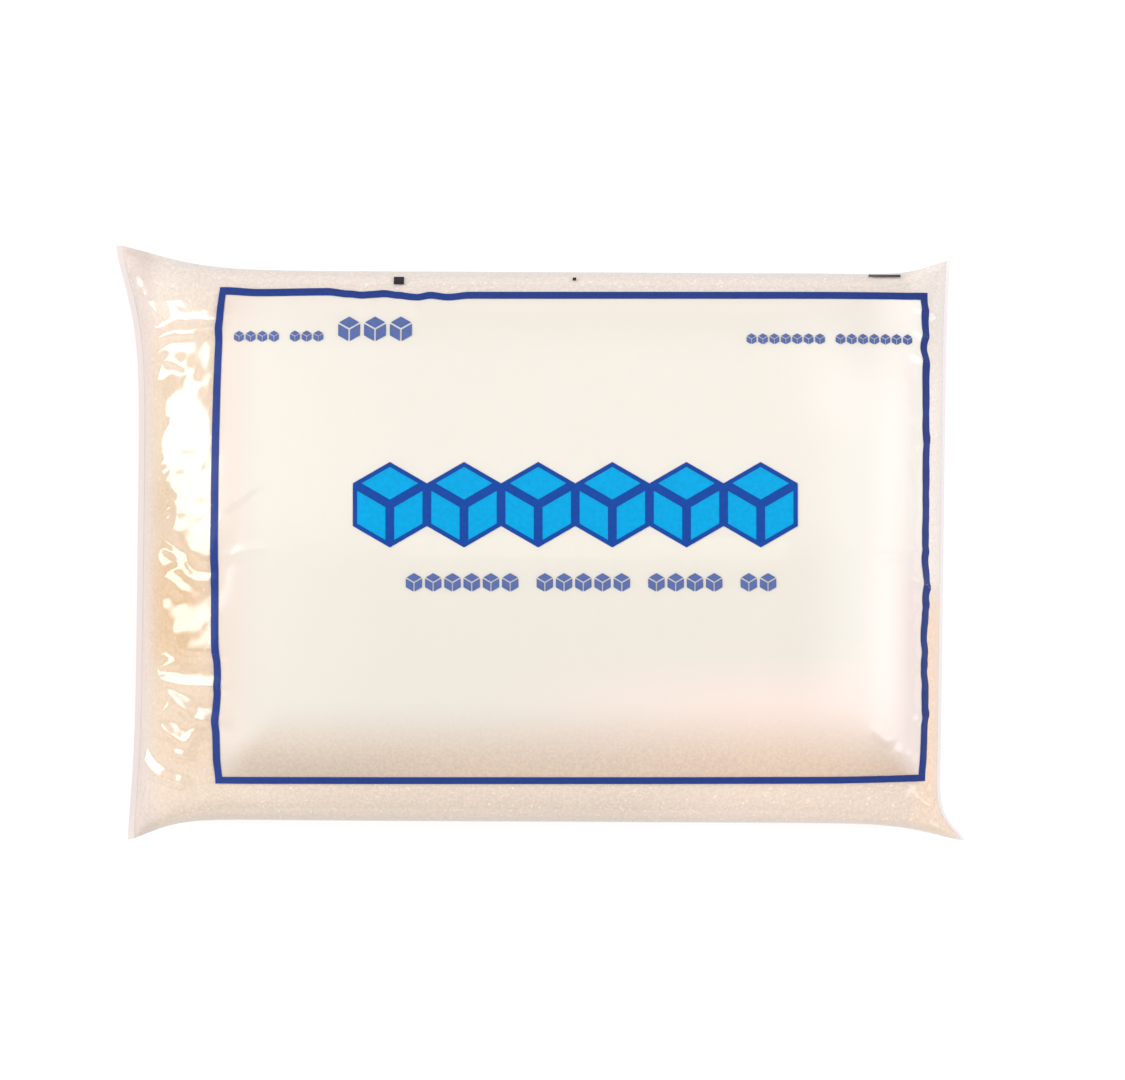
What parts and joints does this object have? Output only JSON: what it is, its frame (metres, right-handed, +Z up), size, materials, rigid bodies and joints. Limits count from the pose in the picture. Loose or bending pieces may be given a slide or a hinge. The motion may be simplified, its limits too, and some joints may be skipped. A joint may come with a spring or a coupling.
{
  "type": "bag of sugar",
  "caption": "Pillow-shaped bag of clear film, welded flat at both ends and full of pale cane sugar, lying with its printed side up.",
  "frame": {"origin": "bottom centre of the bag's box: on the table, under the middle of the bag", "axes": "+X along the bag towards the end with the fuller sugar, +Y across it towards the top of the print, +Z up out of the printed side"},
  "size_m": [0.2422, 0.17, 0.0431],
  "materials": {
    "sugar": "fine, dry, pale cane sugar with small bright glints",
    "film": "clear, glossy, wrinkled film, faintly lilac where two layers are welded",
    "print_navy": "dark blue ink under glossy film",
    "print_blue": "thin mid-blue ink under glossy film",
    "print_cyan": "bright cyan ink under glossy film",
    "print_milky": "milky, half see-through ground inside the printed frame",
    "mark_black": "black register marks"
  },
  "bodies": {
    "root": {"sugar_bag": "sugar"}
  },
  "joints": []
}
